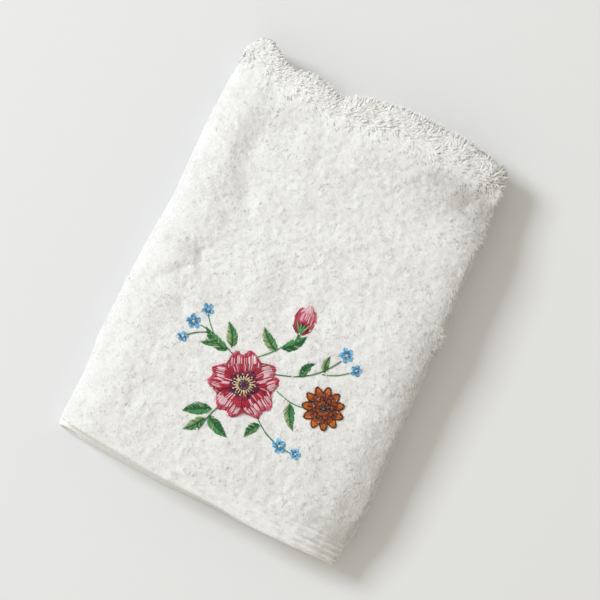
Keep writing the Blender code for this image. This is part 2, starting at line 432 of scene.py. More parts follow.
def ground_material(look):
    """Bleached cotton ground weave: matt, nubbly where the loops leave it, seen only between the yarns, with
    the hollows between its nubs painted darker as painted shade.
    """
    matt = {"Roughness": 0.95, "Specular IOR Level": 0.2, "Sheen Weight": look.bloom, "Sheen Roughness": 0.5}
    nubs = {"Scale": CLOTH_SIDE / (0.9 * MM), "Smoothness": 0.6}
    sunk = {"Strength": 0.35, "Distance": 0.3 * MM}
    tones = {6: tuple(look.colour), 7: tuple(look.shaded_colour)}
    return new_material(
        "bleached_cotton_ground_weave",
        ("place", "UVMap", {"uv_map": "cloth_map"}, {}, {}),
        ("loops", "TexVoronoi", {"feature": "SMOOTH_F1"}, nubs, {"Vector": ("place", "UV")}),
        # Painted shade: the colour darkens towards the hollows between the nubs
        ("colour", "Mix", {"data_type": "RGBA"}, tones, {0: ("loops", "Distance")}),
        ("bump", "Bump", {"invert": True}, sunk, {"Height": ("loops", "Distance")}),
        ("surface", "BsdfPrincipled", {}, matt, FINISHED),
    )


def thread_material():
    """Twisted rayon embroidery thread: silky, with a painted glint that lightens and darkens its colour along
    the filaments, and each stitch's colour a little different.
    """
    rayon = {"Roughness": 0.42, "Specular IOR Level": 0.45, "Sheen Weight": 0.15, "Sheen Roughness": 0.4}
    # Filaments are finer than this; they are drawn this coarse so that they show
    fineness = {"Scale": 1 / (0.3 * MM), "Detail": 2.0}
    # Painted glint: the filaments' noise scales the thread's colour lighter and darker
    spread = {"From Min": 0.3, "From Max": 0.7, "To Min": 0.86, "To Max": 1.1}
    shaded = {0: ("dye", "Color"), "Scale": ("glint", "Result")}
    return new_material(
        "twisted_rayon_thread",
        ("dye", "Attribute", {"attribute_name": "dye"}, {}, {}),
        ("place", "TexCoord", {}, {}, {}),
        ("filaments", "TexNoise", {}, fineness, ON_OBJECT),
        ("glint", "MapRange", {}, spread, {"Value": ("filaments", "Fac")}),
        ("colour", "VectorMath", {"operation": "SCALE"}, {}, shaded),
        ("bump", "Bump", {}, {"Strength": 0.4, "Distance": 0.08 * MM}, {"Height": ("filaments", "Fac")}),
        ("surface", "BsdfPrincipled", {}, rayon, {"Base Color": ("colour", 0), "Normal": ("bump", "Normal")}),
    )


def cotton_thread_material(look):
    """White mercerised sewing cotton, a little glossier than the terry, with the light and shade of its twist
    painted into its colour.
    """
    tones = {6: tuple(look.colour), 7: tuple(look.shaded_colour)}
    cotton = {"Roughness": 0.55, "Specular IOR Level": 0.4}
    return new_material(
        "mercerised_sewing_cotton",
        ("place", "TexCoord", {}, {}, {}),
        ("twist", "TexNoise", {}, {"Scale": 1 / (0.3 * MM), "Detail": 1.0}, ON_OBJECT),
        # Painted shade: the noise mixes the thread's colour with the shaded cotton, as light and shade along
        # its twist
        ("colour", "Mix", {"data_type": "RGBA"}, tones, {0: ("twist", "Fac")}),
        ("surface", "BsdfPrincipled", {}, cotton, {"Base Color": ("colour", 2)}),
    )


# ---- Meshes ----


def to_mesh(bm, name):
    """The finished mesh of what bmesh has shaped."""
    mesh = bpy.data.meshes.new(name)
    bm.to_mesh(mesh)
    bm.free()
    return mesh


def place_piece(name, mesh, material):
    """Puts a mesh in the scene as an object at the origin."""
    mesh.materials.append(material)
    piece = bpy.data.objects.new(name, mesh)
    bpy.context.scene.collection.objects.link(piece)
    return piece


def show(name, mesh, material):
    """Puts a mesh in the scene as a finished piece that rides on the cloth."""
    piece = place_piece(name, mesh, material)
    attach(piece, "root")
    return piece


def read_all(items, name, width, kind=np.float32):
    """One named value of every item of a mesh, as rows of the given width."""
    values = np.empty(len(items) * width, kind)
    items.foreach_get(name, values)
    return values.reshape(-1, width)


def write_all(items, name, values, kind=np.float32):
    """Sets one named value of every item of a mesh."""
    items.foreach_set(name, np.asarray(values).astype(kind).ravel())


# How far the shading of yarns and threads leans towards the cloth's own, and how far that leans upwards
YARN_SOFTENING = 0.84
THREAD_SOFTENING = 0.30
UPWARD_LEAN = 0.7
# Room left round each copy's place on its piece's map
MAP_MARGIN = 0.04

# A small shape to be copied many times: its points, triangles and each corner's place on its unrolled map
Shape = namedtuple("Shape", "points triangles corner_map")


def as_shape(bm, map_face):
    """What bmesh has shaped, as a small shape to be copied: map_face gives a triangle's places on the map."""
    bm.verts.index_update()
    points = np.array([vert.co for vert in bm.verts])
    triangles = np.array([[vert.index for vert in face.verts] for face in bm.faces])
    corner_map = np.array([map_face(face) for face in bm.faces])
    bm.free()
    return Shape(points, triangles, corner_map)


def yarn_shape(sides, rings):
    """A ball drawn out along X into a yarn of unit length and width: each ring is its place and its width."""
    bm = bmesh.new()
    turned = Matrix.Rotation(math.radians(-90), 4, "Y")
    bmesh.ops.create_uvsphere(bm, u_segments=sides, v_segments=len(rings) + 1, radius=1.0, matrix=turned)
    for vert in bm.verts:
        ring = round(math.acos(max(-1.0, min(1.0, -vert.co.x))) * (len(rings) + 1) / math.pi)
        if 0 < ring <= len(rings):
            place, width = rings[ring - 1]
            scale = width / 2 / math.hypot(vert.co.y, vert.co.z)
            vert.co = (place, vert.co.y * scale, vert.co.z * scale)
        else:
            vert.co = (1.0 if ring else 0.0, 0.0, 0.0)
    bmesh.ops.triangulate(bm, faces=bm.faces)
    bmesh.ops.recalc_face_normals(bm, faces=bm.faces)
    return as_shape(bm, unrolled)


def unrolled(face):
    """Places of a yarn's triangle on its unrolled side."""
    middle = face.calc_center_median()
    facing = math.atan2(middle.z, middle.y)
    places = []
    for vert in face.verts:
        angle = facing
        if math.hypot(vert.co.y, vert.co.z) > 1e-4:
            angle = math.atan2(vert.co.z, vert.co.y)
            angle += 2 * math.pi * round((facing - angle) / (2 * math.pi))
        places.append((0.05 + 0.75 * (angle / (2 * math.pi) + 0.6), 0.05 + 0.9 * vert.co.x))
    return places


def knot_shape():
    """A round flattish ball of unit width."""
    bm = bmesh.new()
    bmesh.ops.create_icosphere(bm, subdivisions=2, radius=0.5)
    bmesh.ops.scale(bm, vec=(1.0, 1.0, 0.8), verts=bm.verts)
    return as_shape(bm, half_map)


def half_map(face):
    """Places of a ball's triangle: its upper half lies in the left of its cell, its lower in the right."""
    across = 0.25 if face.calc_center_median().z > 0 else 0.75
    return [(across + 0.46 * vert.co.x, 0.5 + 0.9 * vert.co.y) for vert in face.verts]


def copies_mesh(name, shape, places, shades, normals, softening, colours=None):
    """One mesh of many copies of a shape: places holds every copy's points, and shades and colours one value
    a copy. Its shading leans by the softening share, for all or each, towards the cloth's normals, as loose
    fibres do."""
    count, size = places.shape[:2]
    triangles = (shape.triangles[None] + np.arange(count)[:, None, None] * size).reshape(-1, 3)
    mesh = bpy.data.meshes.new(name)
    mesh.vertices.add(count * size)
    write_all(mesh.vertices, "co", places)
    mesh.loops.add(triangles.size)
    write_all(mesh.loops, "vertex_index", triangles, np.int32)
    mesh.polygons.add(len(triangles))
    write_all(mesh.polygons, "loop_start", np.arange(0, triangles.size, 3), np.int32)
    mesh.update(calc_edges=True)
    across = math.ceil(math.sqrt(count))
    cell = np.stack([np.arange(count) % across, np.arange(count) // across], axis=-1)
    inset = MAP_MARGIN + (1 - 2 * MAP_MARGIN) * shape.corner_map
    write_all(mesh.uv_layers.new(name="OFBake").uv, "vector", (cell[:, None, None, :] + inset[None]) / across)
    own = read_all(mesh.vertex_normals, "vector", 3)
    cloth = unit(np.repeat(normals, size, axis=0) + (0, 0, UPWARD_LEAN))
    softening = np.repeat(np.broadcast_to(softening, count), size)[:, None]
    write_all(mesh.polygons, "use_smooth", np.ones(len(triangles)), bool)
    mesh.normals_split_custom_set_from_vertices(unit(own * (1 - softening) + cloth * softening).tolist())
    write_all(mesh.attributes.new("shade", "FLOAT", "POINT").data, "value", np.repeat(shades, size))
    # Each copy's thread colour, which carries painted shade as well as its dyeing
    if colours is not None:
        dye = mesh.attributes.new("dye", "FLOAT_COLOR", "POINT")
        write_all(dye.data, "color", np.repeat(colours, size, axis=0))
    return mesh


# ---- The sheet ----

# The sheet's map has a bare edge, its two faces side by side and the strips of its rims above them
MAP_EDGE = 0.01
MAP_FACE_WIDTH = 0.47
MAP_FACE_HEIGHT = 0.93
MAP_RIMS_AT = 0.95
MAP_RIM_PITCH = 0.012
MAP_RIM_WIDTH = 0.008


def stations(stretches):
    """Places along the cloth from stretches of (start, end, step), each with even steps."""
    places = [stretches[0][0]]
    for start, end, step in stretches:
        count = max(1, round((end - start) / step))
        places.extend(start + (end - start) * (index + 1) / count for index in range(count))
    return places


def build_sheet(look):
    """Cuts the cloth flat, gives it its two faces and rounded hems, and folds it."""
    columns = stations((
        (0.0, SMALL_TURN_AT, HIDDEN_STEP),
        (SMALL_TURN_AT, MIDDLE_THIRD_AT, TURN_STEP),
        (MIDDLE_THIRD_AT, LARGE_TURN_AT, WAVY_STEP),
        (LARGE_TURN_AT, OUTER_THIRD_AT, TURN_STEP),
        (OUTER_THIRD_AT, CLOTH_SIDE, HIDDEN_STEP),
    ))
    rows = stations((
        (0.0, BAND_WIDTH, BAND_STEP * 2),
        (BAND_WIDTH, HALF_LENGTH, HIDDEN_STEP),
        (HALF_LENGTH, UPPER_HALF_AT, TURN_STEP * 2),
        (UPPER_HALF_AT, STRIP_LENGTH - BAND_WIDTH, SHOWN_STEP),
        (STRIP_LENGTH - BAND_WIDTH, STRIP_LENGTH, BAND_STEP),
    ))
    bm = bmesh.new()
    bmesh.ops.create_grid(bm, x_segments=len(columns) - 1, y_segments=len(rows) - 1, size=0.5)
    for vert in bm.verts:
        column = round((vert.co.x + 0.5) * (len(columns) - 1))
        row = round((vert.co.y + 0.5) * (len(rows) - 1))
        vert.co = (columns[column], rows[row], 1.0)
    made = bmesh.ops.extrude_face_region(bm, geom=bm.faces[:], use_keep_orig=True)["geom"]
    back_verts = [item for item in made if isinstance(item, bmesh.types.BMVert)]
    bmesh.ops.translate(bm, verts=back_verts, vec=(0, 0, -2.0))
    rim = [edge for edge in bm.edges if abs(edge.verts[0].co.z - edge.verts[1].co.z) > 1.0]
    bmesh.ops.subdivide_edges(bm, edges=rim, cuts=3, use_grid_fill=False)
    bmesh.ops.recalc_face_normals(bm, faces=bm.faces)
    mesh = to_mesh(bm, "terry_cloth")
    flat = read_all(mesh.vertices, "co", 3)
    lay_cloth_map(mesh, flat)
    write_all(mesh.vertices, "co", folded_points(flat))
    mesh.update()
    mesh.shade_smooth()
    sheet = show("terry_cloth", mesh, ground_material(look))
    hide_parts("washcloth")
    return sheet


def folded_points(flat):
    """Folded places of the flat sheet's points, whose third coordinate runs from -1 at the back to 1."""
    section, strip, side = flat.T.astype(float)
    bulge = HEM_BULGE * np.sqrt(np.clip(1 - side**2, 0, 1))
    section = section + bulge * ((section > CLOTH_SIDE - TINY) * 1.0 - (section < TINY))
    strip = strip + bulge * ((strip > STRIP_LENGTH - TINY) * 1.0 - (strip < TINY))
    lift = (GOOD_FACE + BACK_FACE) / 2 + side * (GOOD_FACE - BACK_FACE) / 2
    return fold_cloth(section, strip, lift)


def lay_cloth_map(mesh, flat):
    """Lays the flat cloth's faces and rims on its map."""
    at = flat[read_all(mesh.loops, "vertex_index", 1, np.int32)[:, 0]]
    starts = read_all(mesh.polygons, "loop_start", 1, np.int32)[:, 0]
    totals = read_all(mesh.polygons, "loop_total", 1, np.int32)[:, 0]
    face = np.repeat(np.arange(len(starts)), totals)
    middle = np.add.reduceat(at, starts)[face] / totals[face][:, None]
    u = np.where(middle[:, 2] > 0, 0.0, 0.5) + MAP_EDGE + MAP_FACE_WIDTH * at[:, 0] / CLOTH_SIDE
    v = MAP_EDGE + MAP_FACE_HEIGHT * at[:, 1] / STRIP_LENGTH
    rim = np.abs(middle[:, 2]) < 0.999
    end_rim = rim & ((middle[:, 1] < TINY) | (middle[:, 1] > STRIP_LENGTH - TINY))
    # Strips 0 and 1 are the two hems, and strips 2 and 3 the two sides
    strip = np.where(end_rim, middle[:, 1] > STRIP_LENGTH / 2, 2 + (middle[:, 0] > CLOTH_SIDE / 2))
    share = np.where(end_rim, at[:, 0] / CLOTH_SIDE, at[:, 1] / STRIP_LENGTH)
    u = np.where(rim, MAP_EDGE + (1 - 2 * MAP_EDGE) * share, u)
    v = np.where(rim, MAP_RIMS_AT + MAP_RIM_PITCH * strip + MAP_RIM_WIDTH * (at[:, 2] + 1) / 2, v)
    for name in ("OFBake", "cloth_map"):
        write_all(mesh.uv_layers.new(name=name).uv, "vector", np.stack([u, v], -1))


# ---- The embroidery ----

# A wild rose, a rosebud, a marigold, small blue flowers and leaves. The sizes and tables of the spray are in
# millimetres and degrees on its own axes.

# Where the spray's middle lies on the folded cloth, and how far the spray is turned
SPRAY_X = 3.2
SPRAY_Y = -29.0
SPRAY_TURN = 25.0
THREAD_PITCH = 0.40
# How uneven the threads' places are, as a share of their pitch, and their ends, as a share of the petal
PITCH_UNEVEN = 0.20
ENDS_UNEVEN = 0.07
# Where a petal's tip is dented, how much a round tip is drawn in at its edges, and how full a petal's base is
NOTCH_REACH = 0.3
TIP_ROUNDING = 1.155
BASE_FULLNESS = 0.1
# Satin stitches slant towards a leaf's tip and end about its edge, and some are of another green
SATIN_SLANT = 0.2
LEAF_EDGE = (0.85, 1.12)
OTHER_GREENS = 0.3
MIDRIB_REACH = 0.92
# Stem stitches, how far each runs past its own step at both ends, and the parts a path is measured in
STEM_STEP = 1.25
STEM_OVERLAP = 0.35
PATH_PARTS = 12
# How much lighter or darker stitches of one thread colour are, which is partly uneven dyeing and partly
# painted shade of stitches catching the light differently, and how much their hue differs
DYE_AND_SHADE_SPREAD = (0.72, 1.24)
DYE_HUE = (0.96, 1.04)
# Heights above the cloth's middle plane: a stitch's sunk ends and its middle, and each layer over the last
STITCH_ENDS = 0.60 * MM
STITCH_MIDDLE = 1.10 * MM
STITCH_UNEVEN = 0.03 * MM
LAYER_RISE = 0.20 * MM
KNOT_LAYER = 1.5
# A thread's width along it, as yarn_shape takes it
THREAD_RINGS = ((0.04, 0.8), (0.3, 1.0), (0.7, 1.0), (0.96, 0.8))

# A stitch from one place to another, with its thread's colour, the piece it belongs to and its layer
Stitch = namedtuple("Stitch", "x y to_x to_y colour piece layer")
# A petal or leaf from its base: notch dents its tip, bend turns its middle line, and blunt is 0.7 for a round
# tip and 1 for a pointed one
Petal = namedtuple("Petal", "x y turn bend length width notch blunt")
# A band of a petal's stitches from its base (0) to its tip (1), of which the share mixed has the other colour
Tier = namedtuple("Tier", "start end colour other mixed")
# A curved stem by way of a third place
Stem = namedtuple("Stem", "x y by_x by_y to_x to_y")
Flower = namedtuple("Flower", "x y turn size")
# A round knot, and a ring of them round a flower's middle
Knot = namedtuple("Knot", "x y colour width")
KnotRing = namedtuple("KnotRing", "flower count start colour width")

ROSE = Flower(-9.0, -6.0, 17.0, 1.0)
BUD = Flower(11.5, 13.0, 68.0, 1.0)
MARIGOLD = Flower(20.5, -13.5, 8.0, 1.0)
BLUE_FLOWERS = table(
    Flower,
    (-27.5, 17.0, 20.0, 1.00), (-22.0, 22.0, 50.0, 0.86), (-31.5, 11.0, 5.0, 0.74), (29.5, 6.0, 35.0, 1.00),
    (33.0, 0.5, 0.0, 0.78), (3.5, -27.5, 25.0, 0.96), (9.5, -30.0, 60.0, 0.74),
)
ROSE_TIERS = table(
    Tier,
    (0.00, 0.34, "plum", "crimson", 0.15), (0.20, 0.62, "crimson", "blush", 0.22),
    (0.46, 0.88, "blush", "crimson", 0.34), (0.78, 1.00, "rose", "crimson", 0.42),
)
BUD_TIERS = table(
    Tier,
    (0.00, 0.40, "plum", "crimson", 0.3), (0.28, 0.74, "crimson", "rose", 0.3),
    (0.62, 1.00, "rose", "crimson", 0.3),
)
BUD_HEART_TIERS = table(
    Tier,
    (0.00, 0.45, "crimson", "plum", 0.3), (0.34, 0.78, "rose", "blush", 0.3),
    (0.66, 1.00, "blush", "rose", 0.2),
)
BLUE_TIERS = table(Tier, (0.0, 0.5, "deep_blue", "sky", 0.3), (0.3, 1.0, "sky", "deep_blue", 0.2))
SEPAL_TIERS = table(Tier, (0.0, 1.0, "leaf", "sage", 0.3))
CALYX_TIERS = table(Tier, (0.0, 1.0, "deep_leaf", "leaf", 0.3))
STEMS = table(
    Stem,
    (-6.0, 4.0, 3.0, 6.0, 9.0, 11.0), (-12.0, 5.0, -17.0, 13.0, -25.0, 16.0),
    (-19.0, 12.5, -21.0, 16.0, -22.0, 20.0), (-21.0, 13.8, -26.0, 13.5, -30.5, 11.5),
    (3.0, -8.0, 8.0, -13.0, 14.0, -13.5), (2.0, -2.0, 16.0, -4.5, 27.5, 4.0),
    (20.0, -1.2, 26.0, -2.0, 31.5, 0.0), (-5.0, -16.0, -3.0, -23.0, 1.5, -26.0),
    (-2.0, -23.0, 3.0, -28.5, 8.0, -29.8), (-17.0, -13.0, -23.0, -17.0, -27.0, -23.0),
)
LEAVES = [
    Petal(*line, notch=0.0, blunt=1.0)
    for line in (
        (-14.5, 7.5, 150.0, -30.0, 11.5, 4.6), (-13.0, 8.5, 78.0, 34.0, 10.5, 4.2),
        (-21.0, -15.0, 172.0, 26.0, 11.5, 4.8), (-24.0, -18.0, 222.0, -26.0, 9.5, 4.0),
        (-22.5, -17.0, 292.0, 30.0, 10.5, 4.6), (3.0, 6.5, 128.0, -30.0, 10.5, 4.4),
        (5.0, 7.5, 10.0, 34.0, 10.5, 4.2), (8.0, -12.0, 258.0, 34.0, 10.0, 4.4),
        (11.5, -2.8, 62.0, -40.0, 8.0, 3.4), (21.0, -0.6, 92.0, -44.0, 6.5, 2.8),
        (-3.5, -20.5, 196.0, 40.0, 8.0, 3.4), (-18.0, 11.5, 212.0, -36.0, 7.0, 3.0),
    )
]
GREENS = ("leaf", "deep_leaf", "sage")
LEAF_GREENS = (("leaf", "deep_leaf"), ("leaf", "sage"), ("deep_leaf", "leaf"), ("sage", "leaf"))
KNOT_RINGS = table(
    KnotRing,
    (ROSE, 1, 0.0, "plum", 0.95), (ROSE, 6, 0.85, "plum", 0.9), (ROSE, 11, 1.7, "plum", 0.85),
    (ROSE, 14, 4.1, "straw", 0.6), (MARIGOLD, 6, 0.75, "ink", 0.85),
)
BLUE_KNOT = 0.9
# Which of the rose's petals lie over their neighbours
ROSE_LAYERS = (0, 1, 0, 1, 2)


def turned_place(x, y, reach, turn):
    """The place at a distance from another, in a direction in degrees."""
    return x + reach * math.cos(math.radians(turn)), y + reach * math.sin(math.radians(turn))


def petal_place(petal, reach, aside):
    """A place on a petal: reach is 0 at its base and 1 at its tip, and aside is -1 and 1 at its edges."""
    tip = 1 - petal.notch * hump(aside, NOTCH_REACH) - TIP_ROUNDING * (1 - petal.blunt) * aside**4
    half = petal.width / 2 * math.sin(math.pi * (BASE_FULLNESS + (petal.blunt - BASE_FULLNESS) * reach))
    x, y = turned_place(petal.x, petal.y, petal.length * reach * tip, petal.turn + petal.bend * reach / 2)
    return turned_place(x, y, aside * half, petal.turn + petal.bend * reach + 90)


def ring_of_petals(flower, count, start, length=0.0, width=0.0, notch=0.0, blunt=1.0):
    """Petals round a flower's middle, whose bases are at a distance from it."""
    petals = []
    for index in range(count):
        turn = flower.turn + 360 * index / count
        base = turned_place(flower.x, flower.y, start * flower.size, turn)
        petals.append(Petal(*base, turn, 0.0, length * flower.size, width * flower.size, notch, blunt))
    return petals


def fill_petal(petal, tiers, piece, layer, chance):
    """Long and short stitches along a petal, in tiers from its base to its tip."""
    stitches = []
    for tier in tiers:
        middle = (tier.start + tier.end) / 2
        width = math.dist(petal_place(petal, middle, -1), petal_place(petal, middle, 1))
        count = max(3, round(width / THREAD_PITCH))
        for index in range(count):
            aside = -1 + 2 * (index + 0.5 + chance.uniform(-PITCH_UNEVEN, PITCH_UNEVEN)) / count
            start = max(0.0, tier.start + chance.uniform(-ENDS_UNEVEN, ENDS_UNEVEN))
            end = min(1.0, tier.end + chance.uniform(-ENDS_UNEVEN, ENDS_UNEVEN))
            ends = (*petal_place(petal, start, aside), *petal_place(petal, end, aside))
            colour = tier.other if chance.random() < tier.mixed else tier.colour
            stitches.append(Stitch(*ends, colour, piece, layer))
    return stitches


def stitch_line(path, colour, piece, layer):
    """Overlapping stem stitches along a path, which gives a place for each share of the way."""
    marks = [path(part / PATH_PARTS) for part in range(PATH_PARTS + 1)]
    length = sum(math.dist(mark, following) for mark, following in zip(marks, marks[1:]))
    count = max(2, round(length / STEM_STEP))
    stitches = []
    for index in range(count):
        start = max(0.0, (index - STEM_OVERLAP) / count)
        end = min(1.0, (index + 1 + STEM_OVERLAP) / count)
        stitches.append(Stitch(*path(start), *path(end), colour, piece, layer))
    return stitches


def fill_leaf(leaf, greens, chance):
    """Slanted satin stitches from a leaf's midrib to its two edges, with a stem-stitched midrib."""
    stitches = []
    count = round(leaf.length / THREAD_PITCH)
    for side, green in zip((-1, 1), greens):
        for index in range(count):
            reach = (index + 0.5) / count
            edge = min(1.0, reach + SATIN_SLANT * (1 - reach * reach))
            side_reach = side * chance.uniform(*LEAF_EDGE)
            ends = (*petal_place(leaf, reach, 0.0), *petal_place(leaf, edge, side_reach))
            colour = GREENS[chance.integers(3)] if chance.random() < OTHER_GREENS else green
            stitches.append(Stitch(*ends, colour, "leaves", 0))
    return stitches + stitch_line(
        lambda share: petal_place(leaf, share * MIDRIB_REACH, 0.0), "deep_leaf", "leaves", 1
    )


def stem_place(stem, share):
    """A place on a curved stem."""
    first, by, last = (1 - share) ** 2, 2 * (1 - share) * share, share**2
    x = first * stem.x + by * stem.by_x + last * stem.to_x
    y = first * stem.y + by * stem.by_y + last * stem.to_y
    return x, y


def rose_stitches(chance):
    """Five heart-shaped petals with darker edges, and a ring of stamens."""
    stitches = []
    petals = ring_of_petals(ROSE, 5, start=2.2, length=11.4, width=12.6, notch=0.13, blunt=0.72)
    for petal, layer in zip(petals, ROSE_LAYERS):
        stitches += fill_petal(petal, ROSE_TIERS, "rose", layer, chance)
        for side in (-1, 1):
            stitches += stitch_line(
                lambda share: petal_place(petal, 0.12 + 0.8 * share, side), "crimson", "rose", layer + 1
            )
    for stamen in ring_of_petals(ROSE, 20, start=1.6, length=2.6):
        tip = petal_place(stamen, chance.uniform(0.8, 1.1), 0.0)
        stitches.append(Stitch(stamen.x, stamen.y, *tip, "straw", "rose", 3))
    return stitches


def bud_stitches(chance):
    """A half-open rosebud from the side, with its sepals and calyx."""
    stitches = []
    for lean, bend, length, width, blunt, tiers, layer in (
        (24.0, -24.0, 10.5, 6.0, 0.86, BUD_TIERS, 0),
        (-24.0, 24.0, 10.5, 6.0, 0.86, BUD_TIERS, 0),
        (0.0, 0.0, 12.0, 6.4, 0.86, BUD_HEART_TIERS, 1),
        (42.0, -25.2, 6.0, 2.0, 1.0, SEPAL_TIERS, 2),
        (-42.0, 25.2, 6.0, 2.0, 1.0, SEPAL_TIERS, 2),
        (14.0, -8.4, 5.0, 2.0, 1.0, SEPAL_TIERS, 2),
        (-14.0, 8.4, 5.0, 2.0, 1.0, SEPAL_TIERS, 2),
        (180.0, 0.0, 2.6, 2.6, 0.9, CALYX_TIERS, 2),
    ):
        petal = Petal(BUD.x, BUD.y, BUD.turn + lean, bend, length, width, 0.0, blunt)
        stitches += fill_petal(petal, tiers, "rosebud", layer, chance)
    return stitches


def marigold_stitches(chance):
    """Two rings of orange petals with a dark outline round each."""
    stitches = []
    for count, start, length, width, colour, layer in (
        (11, 3.4, 4.8, 4.0, "orange", 0), (8, 1.0, 3.6, 3.0, "rust", 2),
    ):
        for petal in ring_of_petals(MARIGOLD, count, start, length, width, blunt=0.76):
            tiers = (Tier(0.0, 0.6, "rust", "ink", 0.18), Tier(0.4, 1.0, colour, "rust", 0.2))
            stitches += fill_petal(petal, tiers, "marigold", layer, chance)
            stitches += stitch_line(
                lambda share: petal_place(petal, 0.35 + 0.65 * math.sin(math.pi * share), 2 * share - 1),
                "ink", "marigold", layer + 1,
            )
    return stitches


def spray_stitches():
    """Every stitch of the embroidery."""
    chance = np.random.default_rng(41)
    stitches = rose_stitches(chance) + bud_stitches(chance) + marigold_stitches(chance)
    for flower in BLUE_FLOWERS:
        for petal in ring_of_petals(flower, 5, start=0.4, length=2.7, width=2.5, blunt=0.76):
            stitches += fill_petal(petal, BLUE_TIERS, "blue_flowers", 0, chance)
    for index, leaf in enumerate(LEAVES):
        stitches += fill_leaf(leaf, LEAF_GREENS[index % len(LEAF_GREENS)], chance)
    for index, stem in enumerate(STEMS):
        green = "deep_leaf" if index % 2 else "leaf"
        stitches += stitch_line(lambda share: stem_place(stem, share), green, "stems", 0)
    return stitches


def spray_knots():
    """The knots in the flowers' middles."""
    knots = []
    for ring in KNOT_RINGS:
        for petal in ring_of_petals(ring.flower, ring.count, ring.start):
            knots.append(Knot(petal.x, petal.y, ring.colour, ring.width))
    return knots + [Knot(flower.x, flower.y, "straw", BLUE_KNOT * flower.size) for flower in BLUE_FLOWERS]


def on_cloth(x, y):
    """From the spray's own axes to distances along the cloth's section and along the strip."""
    turn = math.radians(SPRAY_TURN)
    across = (SPRAY_X + x * math.cos(turn) - y * math.sin(turn)) * MM
    along = (SPRAY_Y + x * math.sin(turn) + y * math.cos(turn)) * MM
    return MIDDLE_THIRD_AT + SMALL_TURN_X - across, STRIP_LENGTH - FOLDED_LENGTH / 2 - along


# The stitched ground as a grid of small cells, so that no pile is planted under a stitch
CELL = 0.25 * MM
CELLS_REACH = 0.2
MARKS_ON_STITCH = 25


def cells(section, strip):
    """The cells that places on the flat cloth lie in."""
    return (section / CELL).astype(int), (strip / CELL).astype(int)


def stitched_cells(stitches):
    """Marks the cells of the top that lie under a stitch."""
    marked = np.zeros((round(CELLS_REACH / CELL), round(STRIP_LENGTH / CELL) + 4), bool)
    ends = np.array([stitch[:4] for stitch in stitches])
    for share in np.linspace(0, 1, MARKS_ON_STITCH):
        column, row = cells(*on_cloth(*(ends[:, :2] + (ends[:, 2:] - ends[:, :2]) * share).T))
        for step_x in (-1, 0, 1):
            for step_y in (-1, 0, 1):
                marked[column + step_x, row + step_y] = True
    return marked


def is_stitched(marked, section, strip):
    """Whether places on the flat cloth lie under a stitch."""
    column, row = cells(section, strip)
    return marked[np.clip(column, 0, marked.shape[0] - 1), np.clip(row, 0, marked.shape[1] - 1)]


def thread_normals(places):
    """The cloth's own direction under each stitch or knot."""
    return cloth_directions(lambda section, strip: fold_cloth(section, strip, GOOD_FACE), *places.T)[0]


def sew(name, ends, lift, width, shades, softening, material, colours=None):
    """One piece of straight stitches, each with a start and an end on the flat cloth, where it dives in."""
    shape = yarn_shape(4, THREAD_RINGS)
    share, offset_y, offset_z = shape.points.T
    start, end = ends
    way = end - start
    aside = np.stack([-way[:, 1], way[:, 0]], axis=-1) / np.linalg.norm(way, axis=1, keepdims=True)
    flat = start[:, None] + way[:, None] * share[:, None] + aside[:, None] * (offset_y * width)[:, None]
    height = STITCH_ENDS + (lift[:, None] - STITCH_ENDS) * (1 - (2 * share - 1) ** 4) + offset_z * width
    places = fold_cloth(flat[..., 0], flat[..., 1], height)
    mesh = copies_mesh(name, shape, places, shades, thread_normals((start + end) / 2), softening, colours)
    show(name, mesh, material)


def dyed_and_shaded(names, look, chance):
    """The colour of every stitch or knot, no two quite alike: painted lighter or darker, partly as uneven
    dyeing and partly as painted shade, with its hue a little uneven.
    """
    colours = np.array([tuple(getattr(look, name)) for name in names])
    strength = chance.uniform(*DYE_AND_SHADE_SPREAD, (len(names), 1))
    colours[:, :3] *= strength * chance.uniform(*DYE_HUE, (len(names), 3))
    return np.clip(colours, 0, 1)


def build_embroidery(look):
    """The spray's stitches, one piece for each kind of motif, and all its knots."""
    chance = np.random.default_rng(42)
    material = thread_material()
    stitches = spray_stitches()
    for kind in sorted({stitch.piece for stitch in stitches}):
        chosen = [stitch for stitch in stitches if stitch.piece == kind]
        at = np.array([stitch[:4] for stitch in chosen]).T
        ends = [np.stack(on_cloth(*at[side : side + 2]), axis=-1) for side in (0, 2)]
        lift = STITCH_MIDDLE + LAYER_RISE * np.array([stitch.layer for stitch in chosen])
        lift = lift + chance.normal(0, STITCH_UNEVEN, len(chosen))
        colours = dyed_and_shaded([stitch.colour for stitch in chosen], look, chance)
        shades = chance.random(len(chosen))
        width, name = look.thread_width, "stitched_" + kind
        sew(name, ends, lift, width, shades, THREAD_SOFTENING, material, colours)
    knots = spray_knots()
    shape = knot_shape()
    flat = np.array([on_cloth(knot.x, knot.y) for knot in knots])
    ball = shape.points * (np.array([knot.width for knot in knots]) * MM)[:, None, None]
    height = STITCH_MIDDLE + LAYER_RISE * KNOT_LAYER + ball[..., 2]
    places = fold_cloth(flat[:, :1] + ball[..., 0], flat[:, 1:] + ball[..., 1], height)
    colours = dyed_and_shaded([knot.colour for knot in knots], look, chance)
    shades = chance.random(len(knots))
    normals = thread_normals(flat)
    mesh = copies_mesh("stitched_knots", shape, places, shades, normals, THREAD_SOFTENING, colours)
    show("stitched_knots", mesh, material)


# ---- The hems' stitches ----

HEM_STITCH_FROM_EDGE = 7.0 * MM
HEM_STITCH = 2.2 * MM
HEM_STITCH_GAP = 0.6 * MM
HEM_STITCH_ROOM = 2.0 * MM
HEM_STITCH_HEIGHT = 0.86 * MM
HEM_THREAD = 0.34 * MM


